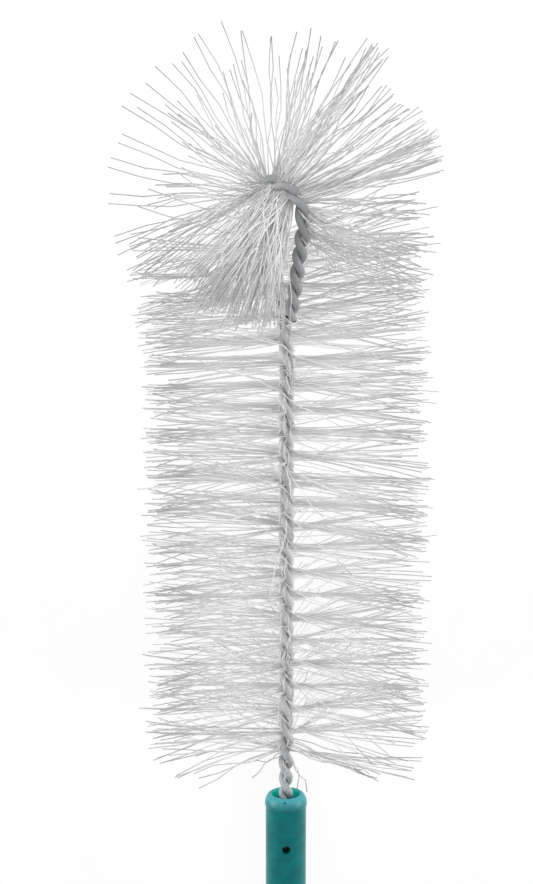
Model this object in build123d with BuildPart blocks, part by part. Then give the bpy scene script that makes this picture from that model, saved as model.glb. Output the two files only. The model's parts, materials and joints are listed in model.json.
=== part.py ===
from build123d import *
from math import asin, atan2, cos, degrees, hypot, pi, radians, sin, tan
import os

os.makedirs("parts", exist_ok=True)

# Bottle brush: a plastic handle on a pair of coated steel wires that are twisted together round
# nylon bristles. Millimetres. Each piece is made with the handle's mouth at the origin, the wire
# along +Y and the side with the wire's tail facing +Z. At the end all of them are laid down
# together, with the handle's end and the nearest bristles on the floor.

# Handle
HANDLE_LENGTH = 200
HANDLE_RADIUS = 5.2
LIP_RADIUS = 5.4
LIP_HEIGHT = 2.8
LIP_STEP = 0.4
MOUTH_RADIUS = 3.5
MOUTH_DEPTH = 7
RIM_ROUND = 0.45
SOCKET_RADIUS = 1.95
SOCKET_DEPTH = 40.5
END_ROUND = 4.2
PEG_HOLE_RADIUS = 1.05
PEG_HOLE_Y = -13.05
HANG_HOLE_RADIUS = 2
HANG_HOLE_Y = 11 - HANDLE_LENGTH

# Wire: two strands side by side, wound left-handed
CORE_RADIUS = 0.73
STRAND_RADIUS = 0.915
BARE_OFFSET = 1.07  # a strand's corners from the middle of the pair, where the strands touch
HELD_OFFSET = 1.16  # the same, where bristles lie between the strands
OFFSET_RAMP = 5
BARE_HALF_TURN = 4.2
HELD_HALF_TURN = 5.9
WIRE_START = -40
RUNS_PER_HALF_TURN = 3

# Middle of the pair: straight, then a drop-shaped loop whose tail comes back to the stem
STEM_END = (0, 110, 0)
LOOP_POINTS = (
    (-0.4, 119, -0.3),
    (-2.2, 129, -1.4),
    (-4.4, 139, -2.8),
    (-6.0, 147, -3.4),
    (-6.3, 151.6, -1.6),
    (-4.9, 154.4, 2.2),
    (-2.3, 153.2, 7.4),
    (0.6, 151.0, 11.0),
    (3.0, 147.4, 12.8),
)
TAIL_TOP = (3.7, 142, 12.4)
TAIL_END = (0.95, 121.5, 5.4)
LOOP_TURN = 50  # degrees that the loop's plane is turned about the stem, from flat

# Bristles
FIRST_SHEET = 12.3
SHEET_COUNT = 22
FAN_COUNT = 6
BRISTLE_START_RADIUS = 34.3
BRISTLE_END_RADIUS = 35.5
SHEET_THICKNESS = 0.4
SHEET_GAP = 0.3
WEB_HALF = 0.08  # half the thickness of the bristles where the strands grip them
FAN_HALF_ANGLE = 75
FAN_ROOT = 1.5
TAIL_ROOM = 2.7
FLAT_DEPTH = 1.0  # how far the lowest bristles are pressed flat

LOOP_NORMAL = Vector(sin(radians(LOOP_TURN)), 0, -cos(radians(LOOP_TURN)))

# The middle of the twisted pair
with BuildLine() as middle:
    Line((0, WIRE_START, 0), STEM_END)
    Spline(
        STEM_END,
        *LOOP_POINTS,
        TAIL_TOP,
        tangents=((0, 1, 0), Vector(*TAIL_END) - Vector(*TAIL_TOP)),
    )
    Line(TAIL_TOP, TAIL_END)
MIDDLE = middle.wires()[0]
LOOP_END = MIDDLE.length + WIRE_START - (Vector(*TAIL_TOP) - Vector(*TAIL_END)).length
WIRE_END = MIDDLE.length + WIRE_START
HELD_START = FIRST_SHEET - HELD_HALF_TURN / 2


def place_at(along):
    """The plane across the pair at a distance from the mouth, x out of the loop's plane."""
    share = (along - WIRE_START) / MIDDLE.length
    tangent = MIDDLE % share
    across = LOOP_NORMAL - tangent * LOOP_NORMAL.dot(tangent)
    return Plane(origin=MIDDLE @ share, x_dir=across, z_dir=tangent)


def half_turns(along):
    """Half turns of the pair from the middle of the first sheet."""
    inside = min(max(along, HELD_START), LOOP_END)
    return (inside - FIRST_SHEET) / HELD_HALF_TURN + (along - inside) / BARE_HALF_TURN


def strand_offset(along):
    outside = max(HELD_START - along, along - LOOP_END, 0)
    share = min(outside / OFFSET_RAMP, 1)
    return HELD_OFFSET + (BARE_OFFSET - HELD_OFFSET) * share


def along_at(turned):
    """The distance from the mouth at which the pair has made that many half turns."""
    inside = min(max(turned, half_turns(HELD_START)), half_turns(LOOP_END))
    return FIRST_SHEET + inside * HELD_HALF_TURN + (turned - inside) * BARE_HALF_TURN


def strand_route(start_angle):
    """Short straight runs joined by the largest tangent arcs, three to a half turn."""
    first = half_turns(WIRE_START)
    last = half_turns(WIRE_END)
    steps = round((last - first) * RUNS_PER_HALF_TURN)
    points = []
    for step in range(steps + 1):
        turned = first + (last - first) * step / steps
        along = along_at(turned)
        angle = radians(start_angle) - pi * turned
        offset = strand_offset(along)
        points.append(place_at(along).from_local_coords((offset * cos(angle), offset * sin(angle), 0)))
    radii = []
    for before, here, after in zip(points, points[1:], points[2:]):
        turn = radians((here - before).get_angle(after - here))
        radii.append(0.45 * min((here - before).length, (after - here).length) / tan(turn / 2))
    return points, radii


def pipe_round(inner, outer):
    """The solid between two swept rods of the same path: both walls, closed by a ring at each end."""
    bores = inner.faces().filter_by(GeomType.PLANE)
    ends = outer.faces().filter_by(GeomType.PLANE)
    walls = [face for rod in (inner, outer) for face in rod.faces() if face.geom_type != GeomType.PLANE]
    rings = []
    for end in ends:
        bore = min(bores, key=lambda face: (face.center() - end.center()).length)
        rings.append(Face(end.outer_wire(), [bore.outer_wire()]))
    return Solid(Shell([*walls, *rings]))


# Pieces as they lie: the whole brush is tipped about the handle's end until the bristles touch
reach = HANDLE_LENGTH - END_ROUND + FIRST_SHEET
drop = BRISTLE_START_RADIUS - HANDLE_RADIUS + END_ROUND
tip_angle = atan2(drop, reach) - asin((END_ROUND + FLAT_DEPTH) / hypot(drop, reach))
mouth_height = END_ROUND + (HANDLE_RADIUS - END_ROUND) * cos(tip_angle)
mouth_height += (HANDLE_LENGTH - END_ROUND) * sin(tip_angle)
floor = Plane(
    origin=(0, 0, -mouth_height / cos(tip_angle)), x_dir=(1, 0, 0), z_dir=(0, sin(tip_angle), cos(tip_angle))
)

pieces = {}

# Handle: a turned rod with a rounded lip, an open mouth and the wire's socket below it
with BuildPart() as handle:
    with BuildSketch(Plane.XY):
        with BuildLine():
            Polyline(
                (HANDLE_RADIUS, -LIP_HEIGHT - LIP_STEP),
                (HANDLE_RADIUS, -HANDLE_LENGTH),
                (0, -HANDLE_LENGTH),
                (0, -SOCKET_DEPTH),
                (SOCKET_RADIUS, -SOCKET_DEPTH),
                (SOCKET_RADIUS, -MOUTH_DEPTH - MOUTH_RADIUS + SOCKET_RADIUS),
                (MOUTH_RADIUS, -MOUTH_DEPTH),
                (MOUTH_RADIUS, -RIM_ROUND),
            )
            TangentArc((MOUTH_RADIUS, -RIM_ROUND), (MOUTH_RADIUS + RIM_ROUND, 0), tangent=(0, 1))
            EllipticalCenterArc(
                (MOUTH_RADIUS + RIM_ROUND, -LIP_HEIGHT + LIP_STEP),
                LIP_RADIUS - MOUTH_RADIUS - RIM_ROUND,
                LIP_HEIGHT - LIP_STEP,
                start_angle=0,
                arc_size=90,
            )
            Polyline(
                (LIP_RADIUS, -LIP_HEIGHT + LIP_STEP),
                (LIP_RADIUS, -LIP_HEIGHT),
                (HANDLE_RADIUS, -LIP_HEIGHT - LIP_STEP),
            )
        make_face()
    revolve(axis=Axis.Y)
    fillet(handle.edges().group_by(Axis.Y)[0], radius=END_ROUND)
    with BuildSketch(Plane.XY):
        with Locations((0, PEG_HOLE_Y)):
            Circle(PEG_HOLE_RADIUS)
    extrude(amount=HANDLE_RADIUS + 1, mode=Mode.SUBTRACT)
    with BuildSketch(Plane.XY):
        with Locations((0, HANG_HOLE_Y)):
            Circle(HANG_HOLE_RADIUS)
    extrude(amount=HANDLE_RADIUS + 1, both=True, mode=Mode.SUBTRACT)
pieces["handle"] = handle.part

# Wire: each strand is a steel core in a plastic coat
for number, start_angle in ((1, 0), (2, 180)):
    points, radii = strand_route(start_angle)
    print("strand", number, "bends from", min(radii), "to", max(radii))
    with BuildLine() as strand:
        FilletPolyline(*points, radius=radii)
    path = strand.wires()[0]
    end_plane = Plane(origin=path @ 0, z_dir=path % 0)
    with BuildPart() as core:
        with BuildSketch(end_plane):
            Circle(CORE_RADIUS)
        sweep(path=path)
    with BuildPart() as whole_strand:
        with BuildSketch(end_plane):
            Circle(STRAND_RADIUS)
        sweep(path=path)
    with BuildPart() as coat:
        add(pipe_round(core.part, whole_strand.part))
    pieces[f"wire_core_{number}"] = core.part
    pieces[f"wire_coat_{number}"] = coat.part

# Bristles along the stem: each half turn of the pair holds one sheet, which turns with it
spread = tan(pi * SHEET_THICKNESS / HELD_HALF_TURN / 2)
sheet_height = HELD_HALF_TURN - SHEET_GAP
tail_direction = Vector(*TAIL_END) - Vector(*TAIL_TOP)
for index in range(SHEET_COUNT):
    along = FIRST_SHEET + HELD_HALF_TURN * index
    growth = (BRISTLE_END_RADIUS - BRISTLE_START_RADIUS) * index / (SHEET_COUNT - 1)
    radius = BRISTLE_START_RADIUS + growth
    turn = 180 * sheet_height / HELD_HALF_TURN
    start = place_at(along).location * Location((0, 0, -sheet_height / 2), (0, 0, turn / 2))
    with BuildPart() as sheet:
        with BuildSketch(mode=Mode.PRIVATE) as section:
            Circle(radius)
            with BuildLine():
                Polyline(
                    (WEB_HALF, 0),
                    (WEB_HALF + radius * spread, radius),
                    (-WEB_HALF - radius * spread, radius),
                    (-WEB_HALF, 0),
                    (-WEB_HALF - radius * spread, -radius),
                    (WEB_HALF + radius * spread, -radius),
                    close=True,
                )
            make_face(mode=Mode.INTERSECT)
        outline = section.sketch.faces()[0].outer_wire()
        twisted = Solid.extrude_linear_with_rotation(outline, (0, 0, 0), (0, 0, sheet_height), -turn)
        add(twisted.moved(start))
        if along > TAIL_END[1] - 2 * HELD_HALF_TURN:
            with BuildSketch(Plane(origin=Vector(*TAIL_END) + tail_direction * 0.1, z_dir=-tail_direction)):
                Circle(TAIL_ROOM)
            extrude(amount=tail_direction.length * 1.4, mode=Mode.SUBTRACT)
        split(bisect_by=floor, keep=Keep.TOP)
    pieces[f"bristles_{index + 1:02d}"] = sheet.part

# Bristles round the loop: one fan at each half turn, standing outwards
for index in range(FAN_COUNT):
    along = FIRST_SHEET + HELD_HALF_TURN * (SHEET_COUNT + index)
    side = BRISTLE_END_RADIUS * sin(radians(FAN_HALF_ANGLE))
    lift = BRISTLE_END_RADIUS * cos(radians(FAN_HALF_ANGLE))
    with BuildPart() as fan:
        with BuildSketch(place_at(along)):
            Circle(BRISTLE_END_RADIUS)
            with BuildLine():
                Polyline(
                    (WEB_HALF, -FAN_ROOT),
                    (WEB_HALF, FAN_ROOT),
                    (side, FAN_ROOT + lift),
                    (side, BRISTLE_END_RADIUS),
                    (-side, BRISTLE_END_RADIUS),
                    (-side, FAN_ROOT + lift),
                    (-WEB_HALF, FAN_ROOT),
                    (-WEB_HALF, -FAN_ROOT),
                    close=True,
                )
            make_face(mode=Mode.INTERSECT)
        extrude(amount=SHEET_THICKNESS / 2, both=True)
    pieces[f"tip_bristles_{index + 1}"] = fan.part

# Lay the brush down, with the origin on the floor under the middle of its box
tipped = Location((0, 0, mouth_height), (degrees(tip_angle), 0, 0))
box = Compound(children=[piece.moved(tipped) for piece in pieces.values()]).bounding_box()
laid = Location((-box.center().X, -box.center().Y, 0)) * tipped
for name, piece in pieces.items():
    placed = piece.moved(laid)
    placed.label = name
    export_step(placed, f"parts/{name}.step")

print("tipped by", degrees(tip_angle), "mouth at", (laid * Location((0, 0, 0))).position)
print("peg hole", (laid * Location((0, PEG_HOLE_Y, 0))).position)
print("hang hole", (laid * Location((0, HANG_HOLE_Y, 0))).position)
print("grip", (laid * Location((0, -HANDLE_LENGTH / 2, 0))).position)
print("box", box.size, box.min)
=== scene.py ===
import json
import random
from math import cos, pi, radians, sin, sqrt

import bpy
import numpy as np
from mathutils import Matrix, Vector


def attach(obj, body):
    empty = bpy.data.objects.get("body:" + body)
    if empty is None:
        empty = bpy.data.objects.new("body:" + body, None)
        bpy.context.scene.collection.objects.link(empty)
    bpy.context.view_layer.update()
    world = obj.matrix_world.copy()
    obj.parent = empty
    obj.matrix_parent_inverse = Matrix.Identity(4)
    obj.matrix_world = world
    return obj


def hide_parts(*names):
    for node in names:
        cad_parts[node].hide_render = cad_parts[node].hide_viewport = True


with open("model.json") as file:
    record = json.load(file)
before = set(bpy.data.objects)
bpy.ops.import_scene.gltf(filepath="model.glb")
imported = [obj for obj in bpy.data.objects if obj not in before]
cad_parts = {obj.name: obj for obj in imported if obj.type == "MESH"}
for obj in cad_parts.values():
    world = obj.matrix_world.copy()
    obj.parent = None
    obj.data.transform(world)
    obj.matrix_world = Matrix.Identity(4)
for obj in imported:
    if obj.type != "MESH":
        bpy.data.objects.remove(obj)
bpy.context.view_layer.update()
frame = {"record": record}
mm = 0.001
chance = random.Random(27)

# The brush's own directions: right across it, along the wire, front towards the wire's tail.
# The handle's mouth is the middle of them, and everything below is measured from it in millimetres.
mounts = {mount["name"]: mount for mount in frame["record"]["mounts"]}
alongAxis = -Vector(mounts["handle_grip"]["axis"]).normalized()
frontAxis = Vector(mounts["hang_hole"]["axis"]).normalized()
rightAxis = alongAxis.cross(frontAxis).normalized()
gripToMouth = 100
mouthPlace = Vector(mounts["handle_grip"]["pos_m"]) + alongAxis * gripToMouth * mm
toFrame = Matrix((rightAxis, alongAxis, frontAxis)).transposed().to_4x4()
toFrame.translation = mouthPlace
turnRows = np.array(toFrame.to_3x3()).T
floorRow = turnRows[:, 2]  # how much each brush direction rises from the floor


def heightOf(points):
    return points @ floorRow + mouthPlace.z / mm


# Camera, on the side of the wire's tail
view = {
    "eye": (-5, 119.45, 298.6),
    "lookDown": 5.5,  # degrees towards the handle
    "lens": 48.87,
    "sensor": 36,
    "clip": (0.01, 20),
}
lookAngle = radians(view["lookDown"])
cameraData = bpy.data.cameras.new("camera")
cameraData.lens = view["lens"]
cameraData.sensor_width = view["sensor"]
cameraData.sensor_height = view["sensor"]
cameraData.sensor_fit = "AUTO"
cameraData.clip_start, cameraData.clip_end = view["clip"]
cameraObject = bpy.data.objects.new("camera", cameraData)
bpy.context.scene.collection.objects.link(cameraObject)
cameraTurn = Matrix((
    Vector((1, 0, 0)),
    Vector((0, cos(lookAngle), -sin(lookAngle))),
    Vector((0, sin(lookAngle), cos(lookAngle))),
)).transposed()
cameraPlace = cameraTurn.to_4x4()
cameraPlace.translation = Vector(view["eye"]) * mm
cameraObject.matrix_world = toFrame @ cameraPlace
bpy.context.scene.camera = cameraObject
print("camera placed")


# Small helpers for modelling
def deselectAll():
    if bpy.context.object and bpy.context.object.mode != "OBJECT":
        bpy.ops.object.mode_set(mode="OBJECT")
    bpy.ops.object.select_all(action="DESELECT")
    bpy.context.view_layer.objects.active = None


def finishPiece(piece, material, slotName, *nodes):
    # the piece goes from brush millimetres to its place in the frame
    piece.data.transform(toFrame @ Matrix.Scale(mm, 4))
    piece.data.update()
    piece.data.materials.clear()
    piece.data.materials.append(material)
    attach(piece, "root")
    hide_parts(*nodes)
    return piece


def applyModifiers(piece):
    deselectAll()
    piece.select_set(True)
    bpy.context.view_layer.objects.active = piece
    for modifier in list(piece.modifiers):
        bpy.ops.object.modifier_apply(modifier=modifier.name)


# A socket that takes part in sums, and a finish that adds nodes
class Socket:
    def __init__(self, finish, output):
        self.finish = finish
        self.output = output

    def maths(self, operation, first, second):
        return self.finish.node("Math", {"operation": operation}, {0: first, 1: second})

    def __add__(self, other):
        return self.maths("ADD", self, other)

    __radd__ = __add__

    def __mul__(self, other):
        return self.maths("MULTIPLY", self, other)

    __rmul__ = __mul__

    def __sub__(self, other):
        return self.maths("SUBTRACT", self, other)

    def __rsub__(self, other):
        return self.maths("SUBTRACT", other, self)

    def __pow__(self, other):
        return self.maths("POWER", self, other)


class Finish:
    def __init__(self, owner):
        # the owner is a new material or a new world
        self.owner = owner
        owner.use_nodes = True
        self.tree = owner.node_tree
        self.tree.nodes.clear()

    def node(self, kind, settings=None, sockets=None, output=0):
        made = self.tree.nodes.new("ShaderNode" + kind)
        for key, value in (settings or {}).items():
            setattr(made, key, value)
        for key, value in (sockets or {}).items():
            if isinstance(value, Socket):
                self.tree.links.new(value.output, made.inputs[key])
            else:
                made.inputs[key].default_value = value
        return Socket(self, made.outputs[output]) if len(made.outputs) else None

    def place(self):
        # Object coordinates turned into the brush's own millimetres, from the handle's mouth
        coordinates = self.node("TexCoord", output="Object")
        sockets = {
            "Vector": coordinates,
            "Location": tuple(toFrame.translation),
            "Rotation": tuple(toFrame.to_euler()),
            "Scale": (mm, mm, mm),
        }
        return self.node("Mapping", {"vector_type": "TEXTURE"}, sockets)

    def noise(self, scale, detail=3, rough=0.55):
        # scale is in features per millimetre
        sockets = {"Vector": self.place(), "Scale": scale, "Detail": detail, "Roughness": rough}
        return self.node("TexNoise", {}, sockets)

    def blend(self, factor, first, second):
        # sockets 6 and 7 are the Mix node's two colours, and output 2 is its colour
        settings = {"data_type": "RGBA"}
        return self.node("Mix", settings, {0: factor, 6: first, 7: second}, output=2)

    def between(self, value, low, high, start=0.0, end=1.0):
        sockets = {0: value, 1: low, 2: high, 3: start, 4: end}
        return self.node("MapRange", {"clamp": True}, sockets)

    def bump(self, height, strength, distance):
        sockets = {"Height": height, "Strength": strength, "Distance": distance * mm}
        return self.node("Bump", {}, sockets)

    def surface(self, sockets):
        shader = self.node("BsdfPrincipled", {}, sockets)
        self.node("OutputMaterial", {}, {"Surface": shader})
        return self.owner

    def plainRays(self):
        # one for what the camera, a reflection or glass sees, and nought for light on the object
        seen = self.node("LightPath", output="Is Camera Ray")
        for kind in ("Is Glossy Ray", "Is Transmission Ray"):
            ray = self.node("LightPath", output=kind)
            seen = self.node("Math", {"operation": "MAXIMUM"}, {0: seen, 1: ray})
        return seen


def newFinish(name):
    return Finish(bpy.data.materials.new(name))


def colour(*levels):
    # red, green and blue from 0 to 255, as a shader takes them
    def one(level):
        level /= 255
        return level / 12.92 if level <= 0.04045 else ((level + 0.055) / 1.055) ** 2.4
    return (*map(one, levels), 1)


# The middle of the twisted pair: straight, then a drop-shaped loop whose tail comes back
wire = {
    "start": -40,
    "stemEnd": (0, 110, 0),
    "loop": (
        (-0.4, 119, -0.3),
        (-2.2, 129, -1.4),
        (-4.4, 139, -2.8),
        (-6.0, 147, -3.4),
        (-6.3, 151.6, -1.6),
        (-4.9, 154.4, 2.2),
        (-2.3, 153.2, 7.4),
        (0.6, 151.0, 11.0),
        (3.0, 147.4, 12.8),
    ),
    "tailTop": (3.7, 142, 12.4),
    "tailEnd": (0.95, 121.5, 5.4),
    "loopTurn": 50,  # degrees that the loop's plane is turned about the stem
    "strandRadius": 0.915,
    "coreRadius": 0.73,
    "coreGap": 0.01,
    "heldOffset": 1.04,  # a strand from the middle of the pair, where bristles are held
    "bareOffset": 0.93,
    "offsetRamp": 5,
    "firstTurn": 12.3,  # middle of the first half turn that holds bristles
    "heldHalfTurn": 5.9,
    "bareHalfTurn": 4.2,
    "step": 0.3,  # between a strand's points
    "stemSamples": 3001,
    "loopStep": 0.05,
    "tailSamples": 441,
    "coreSides": 12,
    "coatSides": 14,
    "smoothAngle": 50,
    "coreProud": 0.45,  # how far the cut steel shows past its coat
}


def smoothRun(points, firstSlope, lastSlope, step):
    # a clamped cubic through the points, sampled evenly enough for the wire
    points = np.array(points, float)
    chords = np.linalg.norm(np.diff(points, axis=0), axis=1)
    count = len(points)
    rows = np.zeros((count, count))
    rows[0, 0] = rows[-1, -1] = 1
    right = np.zeros((count, 3))
    right[0] = firstSlope
    right[-1] = lastSlope
    for index in range(1, count - 1):
        before, after = chords[index - 1], chords[index]
        rows[index, index - 1:index + 2] = after, 2 * (before + after), before
        right[index] = 3 * after * (points[index] - points[index - 1]) / before
        right[index] += 3 * before * (points[index + 1] - points[index]) / after
    slopes = np.linalg.solve(rows, right)
    run = []
    for index, chord in enumerate(chords):
        share = np.arange(0, 1, step / chord)[:, None]
        square, cube = share ** 2, share ** 3
        run.append(
            (2 * cube - 3 * square + 1) * points[index]
            + (cube - 2 * square + share) * chord * slopes[index]
            + (3 * square - 2 * cube) * points[index + 1]
            + (cube - square) * chord * slopes[index + 1]
        )
    return np.vstack([*run, points[-1:]])


stemEnd = np.array(wire["stemEnd"], float)
tailTop = np.array(wire["tailTop"], float)
tailEnd = np.array(wire["tailEnd"], float)
tailSlope = (tailEnd - tailTop) / np.linalg.norm(tailEnd - tailTop)
loopPoints = [wire["stemEnd"], *wire["loop"], wire["tailTop"]]
bend = smoothRun(loopPoints, (0, 1, 0), tailSlope, wire["loopStep"])
stemRun = np.linspace((0, wire["start"], 0), stemEnd, wire["stemSamples"])
tailRun = np.linspace(tailTop, tailEnd, wire["tailSamples"])
middle = np.vstack([stemRun[:-1], bend[:-1], tailRun])
gaps = np.linalg.norm(np.diff(middle, axis=0), axis=1)
travel = wire["start"] + np.concatenate([[0], np.cumsum(gaps)])
slopes = np.gradient(middle, travel, axis=0)
slopes /= np.linalg.norm(slopes, axis=1)[:, None]
wireEnd = travel[-1]
loopEnd = wireEnd - np.linalg.norm(tailEnd - tailTop)
heldStart = wire["firstTurn"] - wire["heldHalfTurn"] / 2
print("wire from", wire["start"], "to", round(wireEnd, 2), "loop ends at", round(loopEnd, 2))


def along(values, table):
    return np.stack([np.interp(values, travel, table[:, axis]) for axis in range(3)], axis=-1)


def crossPlane(places):
    # the middle of the pair at distances from the mouth, and the two directions across it
    centre = along(places, middle)
    slope = along(places, slopes)
    slope /= np.linalg.norm(slope, axis=-1, keepdims=True)
    turn = radians(wire["loopTurn"])
    normal = np.array((sin(turn), 0, -cos(turn)))
    across = normal - slope * (slope @ normal)[..., None]
    across /= np.linalg.norm(across, axis=-1, keepdims=True)
    return centre, across, np.cross(slope, across), slope


def halfTurns(places):
    inside = np.clip(places, heldStart, loopEnd)
    held = (inside - wire["firstTurn"]) / wire["heldHalfTurn"]
    return held + (places - inside) / wire["bareHalfTurn"]


turnTable = halfTurns(travel)


def placeOf(turns):
    return np.interp(turns, turnTable, travel)


# Finishes
def handleFinish():
    look = {
        "base": colour(0, 92, 95),
        "light": colour(0, 110, 112),
        "speck": colour(0, 66, 74),
        "lip": colour(80, 160, 170),
        "paintedMouthLight": colour(10, 172, 162),  # painted light: the inside of the mouth is made brighter, standing in for light through the plastic's wall
        "paintedRimGlow": colour(20, 84, 84),
        "paintedMouthGlow": colour(0, 88, 82),
        "noGlow": (0, 0, 0, 1),
    }
    finish = newFinish("handlePlastic")
    cloud = finish.noise(0.35, 4)
    fine = finish.noise(2.2, 3, 0.7)
    speck = finish.between(finish.noise(3.6, 2, 0.6), 0.66, 0.74)
    body = finish.blend(finish.between(cloud, 0.35, 0.65), look["base"], look["light"])
    body = finish.blend(finish.between(fine, 0.4, 0.75, 0, 0.35), body, look["light"])
    body = finish.blend(speck * 0.5, body, look["speck"])
    place = finish.place()
    across, upward, front = (
        finish.node("SeparateXYZ", {}, {0: place}, output=number) for number in range(3)
    )
    radius = (across * across + front * front) ** 0.5
    # painted light: inside the mouth, a brighter colour and an emission stand in for light through
    # the plastic's wall
    inside = finish.between(radius, 3.5, 3.75, 1, 0) * finish.between(upward, -7, -1)
    # painted highlight: the rounded lip's shoulder is made paler and bluer, standing in for light
    # on it
    body = finish.blend(finish.between(upward, -3.1, -0.6, 0, 0.75), body, look["lip"])
    body = finish.blend(inside, body, look["paintedMouthLight"])
    # painted light: the top of the rim gives off a faint light, to lighten it where the lamps leave
    # it dark
    paintedGlow = finish.blend(finish.between(upward, -1.3, -0.1), look["noGlow"], look["paintedRimGlow"])
    paintedGlow = finish.blend(inside, paintedGlow, look["paintedMouthGlow"])
    height = cloud * 0.7 + fine * 0.25
    return finish.surface({
        "Base Color": body,
        "Roughness": 0.26 + fine * 0.16,
        "Specular IOR Level": 0.04,
        "Emission Color": paintedGlow,
        "Emission Strength": 1.0,
        "Coat Weight": 0.6,
        "Coat IOR": 1.3,
        "Coat Roughness": 0.3,
        "Normal": finish.bump(height, 0.35, 0.06),
    })


def coatFinish():
    look = {
        "dull": colour(160, 161, 163),
        "pale": colour(188, 189, 190),
        "stem": colour(203, 204, 205),
        "tail": colour(151, 152, 154),
        "speck": colour(122, 123, 127),
    }
    finish = newFinish("wireCoating")
    cloud = finish.noise(0.8, 3)
    fine = finish.noise(5, 3, 0.7)
    body = finish.blend(finish.between(cloud, 0.3, 0.7), look["dull"], look["pale"])
    place = finish.place()
    front = finish.node("SeparateXYZ", {}, {0: place}, output=2)
    upward = finish.node("SeparateXYZ", {}, {0: place}, output=1)
    # the coat is paler along the stem, from 12 mm past the mouth, and greyer towards the front on
    # the loop's tail
    body = finish.blend(finish.between(upward, 12, 20, 0, 0.8), body, look["stem"])
    body = finish.blend(finish.between(front, 3, 7, 0, 0.8), body, look["tail"])
    body = finish.blend(finish.between(fine, 0.55, 0.8, 0, 0.35), body, look["speck"])
    return finish.surface({
        "Base Color": body,
        "Roughness": 0.36 + fine * 0.2,
        "Specular IOR Level": 0.35,
        "Normal": finish.bump(fine * 0.5 + cloud, 0.3, 0.04),
    })


def steelFinish():
    look = {"dark": colour(30, 30, 32), "light": colour(72, 72, 74)}
    finish = newFinish("cutSteel")
    fine = finish.noise(6, 3, 0.7)
    body = finish.blend(finish.between(fine, 0.3, 0.7), look["dark"], look["light"])
    return finish.surface({
        "Base Color": body,
        "Metallic": 0.8,
        "Roughness": 0.4 + fine * 0.25,
        "Normal": finish.bump(fine, 0.3, 0.03),
    })


def bristleFinish():
    look = {
        "root": (colour(205, 205, 206), colour(250, 250, 250)),  # the dullest and the palest
        "tip": (colour(136, 137, 139), colour(212, 212, 213)),
        "streak": colour(196, 197, 198),
        "paintedRootGlow": (0.012, 0.012, 0.012, 1),
        "noGlow": (0, 0, 0, 1),
    }
    finish = newFinish("bristleNylon")
    out = finish.node("Attribute", {"attribute_name": "outwards"}, {}, output="Fac")
    # the shade attribute is each bristle's tone, a random spread with painted light on the dense
    # bundles and fuller turns
    shade = finish.node("Attribute", {"attribute_name": "shade"}, {}, output="Fac")
    streak = finish.noise(0.5, 3, 0.6)
    root = finish.blend(shade, *look["root"])
    tip = finish.blend(shade, *look["tip"])
    end = finish.between(out, 0.45, 1.0) ** 1.5
    body = finish.blend(end, root, tip)
    body = finish.blend(finish.between(streak, 0.4, 0.7, 0, 0.2), body, look["streak"])
    return finish.surface({
        "Base Color": body,
        # painted light: a faint emission near the roots stands in for light through the dense nylon
        "Emission Color": finish.blend(end, look["paintedRootGlow"], look["noGlow"]),
        "Emission Strength": 1.0,
        "Roughness": 0.35 + streak * 0.2,
        "Specular IOR Level": 0.4,
        "Normal": finish.bump(streak, 0.15, 0.02),
    })


handlePlastic = handleFinish()
wireCoating = coatFinish()
cutSteel = steelFinish()
bristleNylon = bristleFinish()

# Handle: a turned rod with a rounded lip and an open mouth
handle = {
    "length": 200,
    "radius": 5.2,
    "lipRadius": 5.4,
    "lipHeight": 2.8,
    "lipStep": 0.4,
    "mouthRadius": 3.5,
    "mouthDepth": 7,
    "rimRound": 0.45,
    "socketRadius": 1.97,
    "socketDepth": 40.5,
    "funnel": 1.55,  # the cone between the mouth and the socket
    "shaftFrom": -8,
    "shaftRings": 33,
    "endRound": 4.2,
    "pegHoleRadius": 1.05,
    "pegHoleAt": -13.05,
    "hangHoleRadius": 2,
    "hangHoleAt": -189,
    "holeBevel": 0.16,
    "pitRadius": 0.26,
    "pitAt": (-0.35, -0.75),
    "pitFrom": 4.2,  # from the handle's middle out to the front
    "segments": 96,
    "smoothAngle": 35,
}


def arcPoints(middleX, middleY, radiusX, radiusY, start, end, count):
    places = []
    for index in range(count + 1):
        angle = radians(start + (end - start) * index / count)
        places.append((middleX + radiusX * cos(angle), middleY + radiusY * sin(angle)))
    return places


def handleProfile():
    # radius and place along, from the bottom of the socket out of the mouth and down to the end
    size = handle
    rimMiddle = size["mouthRadius"] + size["rimRound"]
    lipTop = -size["lipHeight"] + size["lipStep"]
    profile = [(size["socketRadius"], -size["socketDepth"])]
    profile.append((size["socketRadius"], -size["mouthDepth"] - size["funnel"]))
    profile.append((size["mouthRadius"] - 0.1, -size["mouthDepth"]))
    profile.append((size["mouthRadius"], -size["mouthDepth"] + 0.15))
    profile.append((size["mouthRadius"], -3))
    rim = size["rimRound"]
    profile += arcPoints(rimMiddle, -rim, rim, rim, 180, 90, 5)
    domeWide = size["lipRadius"] - rimMiddle
    profile += arcPoints(rimMiddle, lipTop, domeWide, -lipTop, 90, 0, 12)[1:]
    profile.append((size["lipRadius"], -size["lipHeight"] + 0.08))
    profile.append((size["lipRadius"] - 0.03, -size["lipHeight"]))
    profile.append((size["radius"] + 0.02, -size["lipHeight"] - size["lipStep"] + 0.02))
    profile.append((size["radius"], -size["lipHeight"] - size["lipStep"] - 0.1))
    flat = size["radius"] - size["endRound"]
    low = -size["length"] + size["endRound"]
    for place in np.linspace(size["shaftFrom"], low, size["shaftRings"]):
        profile.append((size["radius"], place))
    profile += arcPoints(flat, low, size["endRound"], size["endRound"], 0, -90, 12)[1:]
    return profile


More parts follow.
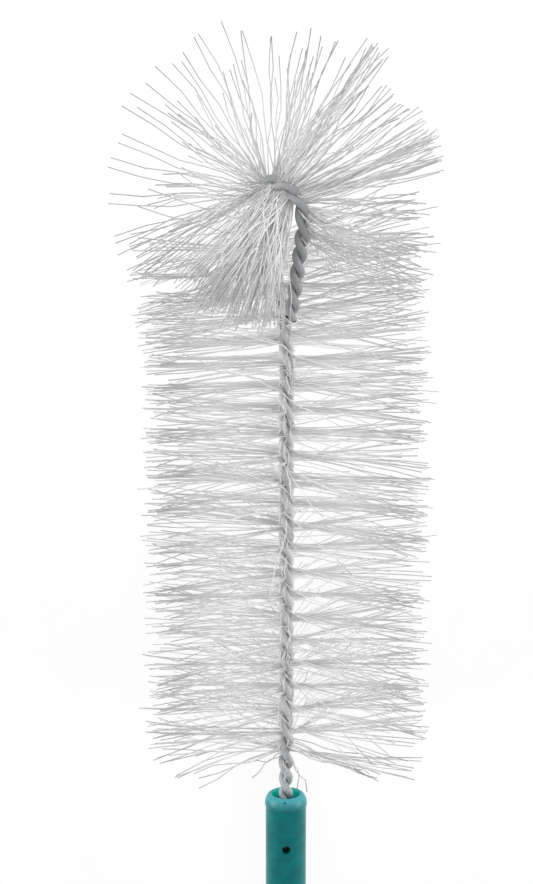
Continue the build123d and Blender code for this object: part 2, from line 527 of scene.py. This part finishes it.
def makeHandle():
    deselectAll()
    profile = handleProfile()
    radius, place = profile[0]
    bpy.ops.mesh.primitive_circle_add(
        vertices=handle["segments"], radius=radius, fill_type="NGON",
        location=(0, place, 0), rotation=(pi / 2, 0, 0),
    )
    piece = bpy.context.object
    bpy.ops.object.transform_apply(location=True, rotation=True, scale=True)
    bpy.ops.object.mode_set(mode="EDIT")
    bpy.ops.mesh.select_all(action="SELECT")
    bpy.ops.mesh.select_mode(type="EDGE")
    for nextRadius, nextPlace in profile[1:]:
        bpy.ops.mesh.extrude_edges_move(TRANSFORM_OT_translate={"value": (0, nextPlace - place, 0)})
        share = nextRadius / radius
        bpy.ops.transform.resize(value=(share, 1, share), center_override=(0, nextPlace, 0))
        radius, place = nextRadius, nextPlace
    bpy.ops.mesh.edge_face_add()
    bpy.ops.mesh.select_all(action="SELECT")
    bpy.ops.mesh.remove_doubles(threshold=0.0001)
    bpy.ops.mesh.normals_make_consistent(inside=False)
    bpy.ops.object.mode_set(mode="OBJECT")
    piece.name = "handle_body"
    return piece


def cutHole(piece, radius, bottom, top, x, y, sides=40):
    deselectAll()
    bpy.ops.mesh.primitive_cylinder_add(
        vertices=sides, radius=radius, depth=top - bottom, location=(x, y, (top + bottom) / 2),
    )
    cutter = bpy.context.object
    bpy.ops.object.transform_apply(location=True, rotation=True, scale=True)
    hole = piece.modifiers.new("hole", "BOOLEAN")
    hole.operation = "DIFFERENCE"
    hole.solver = "EXACT"
    hole.object = cutter
    applyModifiers(piece)
    bpy.data.objects.remove(cutter)


def easeHole(piece, radius, x, y, front):
    # a small bevel round a hole's edge on the outside of the handle
    deselectAll()
    piece.select_set(True)
    bpy.context.view_layer.objects.active = piece
    mesh = piece.data
    onEdge = []
    for vertex in mesh.vertices:
        place = vertex.co
        ring = sqrt((place.x - x) ** 2 + (place.y - y) ** 2)
        outside = sqrt(place.x ** 2 + place.z ** 2) > handle["radius"] - 0.1
        onEdge.append(abs(ring - radius) < 0.02 and outside and place.z * front > 0)
    for polygon in mesh.polygons:
        polygon.select = False
    for edge in mesh.edges:
        edge.select = all(onEdge[index] for index in edge.vertices)
    bpy.ops.object.mode_set(mode="EDIT")
    bpy.ops.mesh.select_mode(type="EDGE")
    bpy.ops.mesh.bevel(offset=handle["holeBevel"], segments=2)
    bpy.ops.object.mode_set(mode="OBJECT")


handlePiece = makeHandle()
beyond = handle["radius"] + 2
cutHole(handlePiece, handle["pegHoleRadius"], 0, beyond, 0, handle["pegHoleAt"])
cutHole(handlePiece, handle["hangHoleRadius"], -beyond, beyond, 0, handle["hangHoleAt"])
easeHole(handlePiece, handle["pegHoleRadius"], 0, handle["pegHoleAt"], 1)
easeHole(handlePiece, handle["hangHoleRadius"], 0, handle["hangHoleAt"], 1)
easeHole(handlePiece, handle["hangHoleRadius"], 0, handle["hangHoleAt"], -1)
cutHole(handlePiece, handle["pitRadius"], handle["pitFrom"], beyond, *handle["pitAt"], sides=16)
deselectAll()
handlePiece.select_set(True)
bpy.context.view_layer.objects.active = handlePiece
bpy.ops.object.shade_smooth_by_angle(angle=radians(handle["smoothAngle"]))
finishPiece(handlePiece, handlePlastic, "handle_plastic", "handle")
print("handle made, faces:", len(handlePiece.data.polygons))


# Wire: two strands wound left-handed, each a steel core in a coat
def curveTube(name, lines, radius, sides, thick=None):
    # a bevelled curve of one or more lines, turned into a mesh; the bevel has four sides at
    # resolution 0 and two more for each step of it
    deselectAll()
    curve = bpy.data.curves.new(name, "CURVE")
    curve.dimensions = "3D"
    curve.bevel_depth = radius
    curve.bevel_resolution = sides // 2 - 2
    curve.twist_mode = "MINIMUM"
    for number, line in enumerate(lines):
        spline = curve.splines.new("POLY")
        spline.points.add(len(line) - 1)
        flat = np.hstack([line, np.ones((len(line), 1))])
        spline.points.foreach_set("co", flat.ravel())
        if thick is not None:
            spline.points.foreach_set("radius", thick[number])
    piece = bpy.data.objects.new(name, curve)
    bpy.context.scene.collection.objects.link(piece)
    piece.select_set(True)
    bpy.context.view_layer.objects.active = piece
    bpy.ops.object.convert(target="MESH")
    return bpy.context.object


def closeEnds(sides):
    bpy.ops.object.mode_set(mode="EDIT")
    bpy.ops.mesh.select_all(action="SELECT")
    bpy.ops.mesh.fill_holes(sides=sides)
    bpy.ops.object.mode_set(mode="OBJECT")


def strandLine(startAngle, last):
    places = np.arange(wire["start"] + 1, last - wire["step"] / 2, wire["step"])
    places = np.append(places, last)
    centre, across, outward, slope = crossPlane(places)
    outside = np.maximum(np.maximum(heldStart - places, places - loopEnd), 0)
    share = np.minimum(outside / wire["offsetRamp"], 1)
    offset = wire["heldOffset"] + (wire["bareOffset"] - wire["heldOffset"]) * share
    angle = radians(startAngle) - pi * halfTurns(places)
    angle = angle[:, None]
    return centre + offset[:, None] * (np.cos(angle) * across + np.sin(angle) * outward)


for number, startAngle in ((1, 0), (2, 180)):
    line = strandLine(startAngle, wireEnd)
    proud = line[-1] - line[-2]
    proud *= wire["coreProud"] / np.linalg.norm(proud)
    coreLine = np.vstack([line, line[-1:] + proud])
    coreRadius = wire["coreRadius"] - wire["coreGap"]
    core = curveTube(f"steel_core_{number}", [coreLine], coreRadius, wire["coreSides"])
    closeEnds(wire["coreSides"])
    bpy.ops.object.shade_smooth_by_angle(angle=radians(wire["smoothAngle"]))
    finishPiece(core, cutSteel, "core_steel", f"wire_core_{number}")
    coat = curveTube(f"white_coat_{number}", [line], wire["strandRadius"], wire["coatSides"])
    wall = coat.modifiers.new("wall", "SOLIDIFY")
    wall.thickness = wire["strandRadius"] - wire["coreRadius"]
    wall.offset = -1
    applyModifiers(coat)
    bpy.ops.object.shade_smooth_by_angle(angle=radians(wire["smoothAngle"]))
    finishPiece(coat, wireCoating, "wire_coating", f"wire_coat_{number}")
    print("strand", number, "made, faces:", len(coat.data.polygons))

# Bristles: held between the strands, so each points square to the line between them
bristles = {
    "thickness": 0.3,
    "sides": 4,
    "tipShare": 0.8,  # the tip's thickness against the root's
    "length": 35.2,
    "lengthSpread": 0.9,
    "perHalfTurn": 35,
    "fuller": ((17, 20), 1.2),  # the half turns beside the wire's tail hold more
    "tone": (0.3, 0.85),
    # painted light: extra paleness for the fuller half turns
    "upperPaintedLight": 0.1,
    "perGroup": 6,
    "groupLean": 3.2,  # degrees along the wire
    "groupTurn": 3.5,
    "lean": 2.0,
    "turn": 2.0,
    "bow": 1.1,  # millimetres at the tip
    "wave": 0.2,
    "waveRate": (9, 7),
    "strayShare": 0.06,
    "strayLean": 9,
    "clearOfWire": 1.6,
    "ownReach": 4.5,  # the wire this near a bristle's root isn't in its way
    "turnAside": (0, 8, -8, 16, -16, 26, -26, 38, -38),  # degrees, tried in turn to miss the wire
    "offFloor": 0.2,
    "frontFrom": 0.72,  # bristles that face the front more than this lie along the groove first
    "frontKept": 0.6,
    "frontWrapped": 0.6,  # share of those that lies along the stem rather than in the groove
    "frontShorter": 2,
    "creep": (1.2, 3.2),
    "grooveLean": (0.072, 0.36),  # radians
    "grooveDown": 0.9,  # share of those in the groove that lean towards the handle
    "grooveRoot": ((0, 0.9), (0.35, 1.75), (0.7, 2.0), (1, 2.15)),  # share of the way, radius
    "wrap": (2.2, 5.0),
    "wrapFrom": ((-12, 26), (40, 64)),  # degrees from the front
    "wrapWander": 7,
    "wrapLean": (0.05, 0.12),  # radians, with its spread
    "stemRoot": ((0, 0.9), (0.12, 1.9), (0.4, 2.08), (0.7, 2.08), (1, 2.15)),
    "stemLeave": 0.45,  # radians towards the front
    "lowest": 11.2,  # no bristle roots nearer the mouth than this
    "quietTurns": 2,  # few bristles face the front in the first half turns
    "quietKept": 0.35,
    "quietWrap": 0.6,
    "sheetTurns": 22,
    "fanTurns": 6,
}
shares = np.array((0, 0.025, 0.05, 0.085, 0.16, 0.28, 0.42, 0.58, 0.78, 1))
wirePoints = middle[::10]  # every half millimetre
wirePlaces = travel[::10]
frontRow = np.array((0, 0, 1))
rightRow = np.array((1, 0, 0))


def middleAt(place):
    return along(np.array([place]), middle)[0]


def clearOf(line, place):
    # nearest approach to the wire away from the bristle's own root
    rest = wirePoints[np.abs(wirePlaces - place) > bristles["ownReach"]]
    middles = (line[3:] + line[2:-1]) / 2
    tested = np.vstack([line[3:], middles])
    return np.linalg.norm(tested[:, None, :] - rest[None], axis=-1).min()


def ontoFloor(line):
    # a bristle that would go through the floor bends along it
    under = np.maximum(bristles["offFloor"] - heightOf(line), 0)
    return line + under[:, None] * floorRow[None]


def bent(root, direction, slope, length, bow, wave):
    # a line out from its root, with a bow at its tip and a slight wave
    direction = direction / np.linalg.norm(direction)
    sideways = np.cross(direction, slope)
    sideways /= np.linalg.norm(sideways)
    upwards = np.cross(sideways, direction)
    out = shares[:, None]
    line = root + out * length * direction + out ** 2 * (bow[0] * upwards + bow[1] * sideways)
    first, second = chance.uniform(0, 2 * pi), chance.uniform(0, 2 * pi)
    grow = wave * np.minimum(out * 3, 1)
    quick, slow = bristles["waveRate"]
    return line + grow * (
        np.sin(out * quick + first) * upwards + np.sin(out * slow + second) * sideways
    )


def heldDirection(place, half, turn=0.0):
    centre, across, outward, slope = (rows[0] for rows in crossPlane(np.array([place])))
    angle = pi / 2 - pi * float(halfTurns(place)) + pi * half + turn
    return centre, cos(angle) * across + sin(angle) * outward, slope


def creepingLine(place, half, creep, lean, length, bow):
    # the root lies in the groove between the strands, then leaves round the strand
    inGroove = []
    for share, radius in bristles["grooveRoot"]:
        centre, direction, slope = heldDirection(place + creep * share, half)
        inGroove.append(centre + radius * direction)
    direction = cos(lean) * direction + sin(lean) * slope * (1 if creep > 0 else -1)
    line = bent(inGroove[-1], direction, slope, length, bow, bristles["wave"])
    return np.vstack([inGroove[:-1], line[:1], line[4:]])


def wrappingLine(place, side, wrap, lean, length, bow):
    # the root lies along the front of the stem, then leaves to one side
    slope = crossPlane(np.array([place]))[3][0]
    starts = [chance.uniform(*span) for span in bristles["wrapFrom"]]
    start = radians(chance.choice(starts)) * side
    root = []
    for share, radius in bristles["stemRoot"]:
        aside = start + radians(chance.gauss(0, bristles["wrapWander"]))
        centre = middleAt(place - wrap * share)
        root.append(centre + radius * (sin(aside) * rightRow + cos(aside) * frontRow))
    leave = bristles["stemLeave"]
    direction = side * cos(leave) * rightRow + sin(leave) * frontRow
    direction = cos(lean) * direction - sin(lean) * slope
    line = bent(root[-1], direction, slope, length, bow, bristles["wave"])
    return np.vstack([root[:-1], line[:1], line[5:]])


def turnOfBristles(index, count, share=1):
    lines = []
    for number in range(count):
        if number % bristles["perGroup"] == 0:
            groupLean = radians(chance.gauss(0, bristles["groupLean"]))
            groupTurn = radians(chance.gauss(0, bristles["groupTurn"]))
            groupBow = chance.gauss(0, bristles["bow"])
        place = float(placeOf(index - 0.5 + (number + chance.random()) / count))
        if place < bristles["lowest"]:
            continue
        for half in (0, 1):
            turn = groupTurn + radians(chance.gauss(0, bristles["turn"]))
            stray = chance.random() < bristles["strayShare"]
            lean = radians(chance.gauss(0, bristles["strayLean" if stray else "lean"]))
            lean += groupLean if half else -groupLean
            length = bristles["length"] + chance.gauss(0, bristles["lengthSpread"])
            bow = (groupBow + chance.gauss(0, bristles["bow"]), chance.gauss(0, bristles["bow"]))
            kept, sign = chance.random(), chance.random()
            steep = chance.uniform(*bristles["grooveLean"])
            creep = chance.uniform(*bristles["creep"])
            centre, direction, slope = heldDirection(place, half, turn)
            if kept >= share:
                continue
            if direction @ frontRow > bristles["frontFrom"]:
                few = index < bristles["quietTurns"]
                if kept > bristles["frontKept"] * (bristles["quietKept"] if few else 1):
                    continue
                length -= bristles["frontShorter"]
                if sign < bristles["frontWrapped"]:
                    wrap = chance.uniform(*bristles["wrap"])
                    wrap *= bristles["quietWrap"] if few else 1
                    side = 1 if chance.random() < 0.5 else -1
                    lean = chance.gauss(*bristles["wrapLean"])
                    line = wrappingLine(place, side, wrap, lean, length, bow)
                else:
                    creep *= 1 if few or sign > bristles["grooveDown"] else -1
                    line = creepingLine(place, half, creep, steep, length, bow)
            else:
                for step in bristles["turnAside"]:
                    centre, direction, slope = heldDirection(place, half, turn + radians(step))
                    direction = cos(lean) * direction + sin(lean) * slope
                    line = bent(centre, direction, slope, length, bow, bristles["wave"])
                    if clearOf(line, place) > bristles["clearOfWire"]:
                        break
            # painted light: the fuller half turns are made paler, to offset the shade among their
            # dense bristles
            paintedPaler = bristles["upperPaintedLight"] if index >= bristles["fuller"][0][0] else 0
            tone = min(chance.uniform(*bristles["tone"]) + paintedPaler, 1)
            lines.append((ontoFloor(line), tone))
    return lines


# Bundles round the loop and strays at the neck. Each is where its roots are on the wire, the angle
# that it points at (0 right, 90 along the wire) with its spread, how far it lifts to the front with
# its spread, the length, the count, how far it bows anticlockwise at the tip and how pale it is.
# the paleness column is painted light: dense bundles are paler, standing in for light through the
# nylon, around a random spread
bundles = (
    ((150.5, 158.5), (214, 98), 0.8, 0, 5, 37.6, 22, 0, 0.1),
    ((151, 159), (214, 95), 5, 50, 10, 35, 24, 0, 0.3),
    ((151, 159), (214, 95), 5, -50, 10, 35, 24, 0, 0.3),
    ((158.5, 163), (94, 60), 2.5, 0, 10, 35.5, 13, 0, 0.1),
    ((162.5, 166), (55, 52), 1.3, 3, 4, 38.5, 15, 0, 0.3),
    ((159, 169), (88, 28), 6, 42, 13, 33, 21, 0, 0.3),
    ((159, 169), (88, 28), 6, -42, 13, 33, 21, 0, 0.3),
    ((166, 169.5), (44, 36), 2, 4, 7, 33, 12, 0, 0.3),
    ((168.5, 173), (22, 15), 2.6, 5, 6, 34.5, 32, 3.2, 0.5),
    ((170, 173.5), (12, 8), 2.5, 5, 8, 34.5, 10, 2, 0.3),
    ((171, 175), (5, -10), 3, 8, 8, 28, 12, 0, 0.3),
    ((156, 162), (222, 202), 2.2, 4, 7, 37.8, 16, 0, 0.2),
    ((158, 170), (241, 241), 8, 28, 8, 36, 124, -1, 0.7),
    ((158, 166), (269, 258), 4, 34, 12, 36, 26, 0, 0.7),
    ((160, 168), (260, 246), 5, 20, 7, 34, 34, 0, 0.65),
    ((167, 170.5), (261, 254), 3, 18, 6, 33, 30, 0, 0.85),
    ((166.5, 169), (268, 262), 2, -8, 6, 24, 10, 0, 0.9),
    ((172, 181), (-20, -42), 6, 18, 12, 31, 40, 5, 0.5),
    ((11.4, 15), (-6, -20), 2.5, 20, 10, 24, 9, 1, 0.3),
    ((11.4, 15), (192, 199), 3, 15, 16, 24, 5, 0, 0.3),
    ((10.8, 11.4), (204, 210), 2, 10, 4, 10, 2, 0, 0.1),
    ((10.4, 11), (-44, -48), 2, 12, 4, 10, 2, -2, 0.1),
    ((10, 10.4), (246, 250), 3, 0, 5, 7, 2, 3, 0.1),
)
looped = {
    "wave": 0.6,
    "looseSpread": 2.4,  # a bundle with more spread than this has its roots anywhere in its range
    "lengthSpread": 0.9,
    "bowSpread": 1.3,
    "toneSpread": 0.15,
    "tiltAside": (0, 7, -7, 14, -14, 24, -24, 36, -36, 50),  # degrees, tried in turn
    "turns": 1,  # loop half turns that also hold bristles square to the wire
    "turnKept": 0.6,
    "tailRoots": 11,  # short ones that lie along the tail's upper half
    "tailPlaces": (171, 183),
    "tailCreep": (3, 5),
    "tailLength": (9, 16),
    "tailLean": 0.9,  # radians
    "tailFront": 0.35,
}


def bundledBristles():
    sets = [[] for turn in range(bristles["sheetTurns"] + bristles["fanTurns"])]
    for (low, high), (start, end), spread, lift, liftSpread, length, count, bow, pale in bundles:
        for number in range(count):
            share = (number + chance.uniform(0.2, 0.8)) / count
            place = low + (high - low) * share
            if spread > looped["looseSpread"]:
                place = chance.uniform(low, high)
            angle = radians(start + (end - start) * share + chance.gauss(0, spread))
            rise = radians(chance.gauss(lift, liftSpread))
            long = length + chance.gauss(0, looped["lengthSpread"])
            first, second = (chance.gauss(0, looped["bowSpread"]) for axis in range(2))
            bows = (bow + first, second)
            for step in looped["tiltAside"]:
                tilt = rise + radians(step)
                direction = np.array((cos(angle) * cos(tilt), sin(angle) * cos(tilt), sin(tilt)))
                spun = np.array((-sin(angle), cos(angle), 0))
                centre = along(np.array([place]), middle)[0]
                line = bent(centre, direction, spun, long, bows, looped["wave"])
                if clearOf(line, place) > bristles["clearOfWire"]:
                    break
            index = min(max(round(float(halfTurns(place))), 0), len(sets) - 1)
            around = looped["toneSpread"]
            tone = min(max(pale + chance.uniform(-around, around), 0), 1)
            sets[index].append((ontoFloor(line), tone))
    roots = 0
    while roots < looped["tailRoots"]:
        place, half = chance.uniform(*looped["tailPlaces"]), chance.randint(0, 1)
        if heldDirection(place, half)[1] @ frontRow > looped["tailFront"]:
            creep = chance.uniform(*looped["tailCreep"])
            long = chance.uniform(*looped["tailLength"])
            line = creepingLine(place, half, creep, looped["tailLean"], long, (0, 0))
            sets[-1].append((line, 1.0))
            roots += 1
    return sets


def makeBristles(name, node, toned):
    lines = [line for line, tone in toned]
    taper = 1 - (1 - bristles["tipShare"]) * shares
    sides = bristles["sides"]
    piece = curveTube(name, lines, bristles["thickness"] / 2, sides, [taper] * len(lines))
    mesh = piece.data
    outwards = mesh.attributes.new("outwards", "FLOAT", "POINT")
    outwards.data.foreach_set("value", np.tile(np.repeat(shares, sides), len(lines)))
    shade = mesh.attributes.new("shade", "FLOAT", "POINT")
    tones = np.array([tone for line, tone in toned])
    shade.data.foreach_set("value", np.repeat(tones, sides * len(shares)))
    closeEnds(sides)
    bpy.ops.object.shade_smooth()
    finishPiece(piece, bristleNylon, "bristle_nylon", node)
    return piece


bristleFaces = 0
bundled = bundledBristles()
for index, lines in enumerate(bundled):
    (first, last), fuller = bristles["fuller"]
    count = round(bristles["perHalfTurn"] * (fuller if first <= index <= last else 1))
    fan = index - bristles["sheetTurns"]
    if fan < 0:
        lines += turnOfBristles(index, count)
        names = f"stem_bristles_{index + 1:02d}", f"bristles_{index + 1:02d}"
    else:
        if fan < looped["turns"]:
            lines += turnOfBristles(index, count, looped["turnKept"])
        names = f"loop_bristles_{fan + 1}", f"tip_bristles_{fan + 1}"
    piece = makeBristles(*names, lines)
    bristleFaces += len(piece.data.polygons)
print("bristles made, faces:", bristleFaces)

# Floor, white background and studio light
studio = {
    "floorSide": 6,
    "floorColour": (0.8, 0.8, 0.8, 1),
    "seenFloor": 0.3,  # how much of the seen floor takes the light, and so the shadow
    "floorLight": 0.92,
    "fadeFrom": (260, 600),  # millimetres from the mouth over which the floor turns plain white
    "fill": 0.45,
    "fillColour": (0.8, 0.8, 0.8, 1),
    "white": (1, 1, 1, 1),
    "lampTarget": (0, 0.05, 0.04),
    "lampGain": 3.92,  # so that a level is the brightness of a white card that faces the lamp
    "lamps": (  # name, place, side, level, whether it shows in gloss
        ("farLamp", (0, 1.25, 0.5), 0.7, 0.25, True),
        ("leftLamp", (-0.95, 0.1, 0.28), 0.6, 0.68, True),
        ("rightLamp", (0.95, 0.1, 0.28), 0.6, 0.68, True),
        ("topLamp", (0.1, -0.5, 1.1), 0.6, 0.12, False),
    ),
}


def makeFloor():
    deselectAll()
    bpy.ops.mesh.primitive_grid_add(
        x_subdivisions=8, y_subdivisions=8, size=studio["floorSide"], location=(0, 0, 0),
    )
    floor = bpy.context.object
    floor.name = "floor"
    finish = newFinish("floorPaper")
    away = finish.node("VectorMath", {"operation": "LENGTH"}, {0: finish.place()}, output="Value")
    share = studio["seenFloor"] * finish.between(away, *studio["fadeFrom"], 1, 0)
    shade = finish.node("CombineColor", {}, {0: share, 1: share, 2: share})
    shadow = finish.node("BsdfDiffuse", {}, {"Color": shade})
    lit = {"Color": studio["white"], "Strength": 1.0 - share * studio["floorLight"]}
    light = finish.node("Emission", {}, lit)
    white = finish.node("AddShader", {}, {0: shadow, 1: light})
    paper = finish.node("BsdfDiffuse", {}, {"Color": studio["floorColour"]})
    mixed = finish.node("MixShader", {}, {0: finish.plainRays(), 1: paper, 2: white})
    finish.node("OutputMaterial", {}, {"Surface": mixed})
    floor.data.materials.append(finish.owner)


def makeWorld():
    bpy.context.scene.world = bpy.data.worlds.new("studio")
    finish = Finish(bpy.context.scene.world)
    fill = {"Color": studio["fillColour"], "Strength": studio["fill"]}
    fill = finish.node("Background", {}, fill)
    white = finish.node("Background", {}, {"Color": studio["white"], "Strength": 1})
    mixed = finish.node("MixShader", {}, {0: finish.plainRays(), 1: fill, 2: white})
    finish.node("OutputWorld", {}, {"Surface": mixed})


def softLamp(name, place, side, level, shines):
    target = Vector(studio["lampTarget"])
    data = bpy.data.lights.new(name, "AREA")
    data.shape = "SQUARE"
    data.size = side
    reach = (Vector(place) - target).length
    data.energy = studio["lampGain"] * level * pi * reach ** 2
    lamp = bpy.data.objects.new(name, data)
    bpy.context.scene.collection.objects.link(lamp)
    lamp.location = place
    lamp.visible_glossy = shines
    lamp.rotation_euler = (target - Vector(place)).to_track_quat("-Z", "Y").to_euler()


makeFloor()
makeWorld()
for lamp in studio["lamps"]:
    softLamp(*lamp)
bpy.context.scene.view_settings.view_transform = "Standard"
print("floor and light ready")
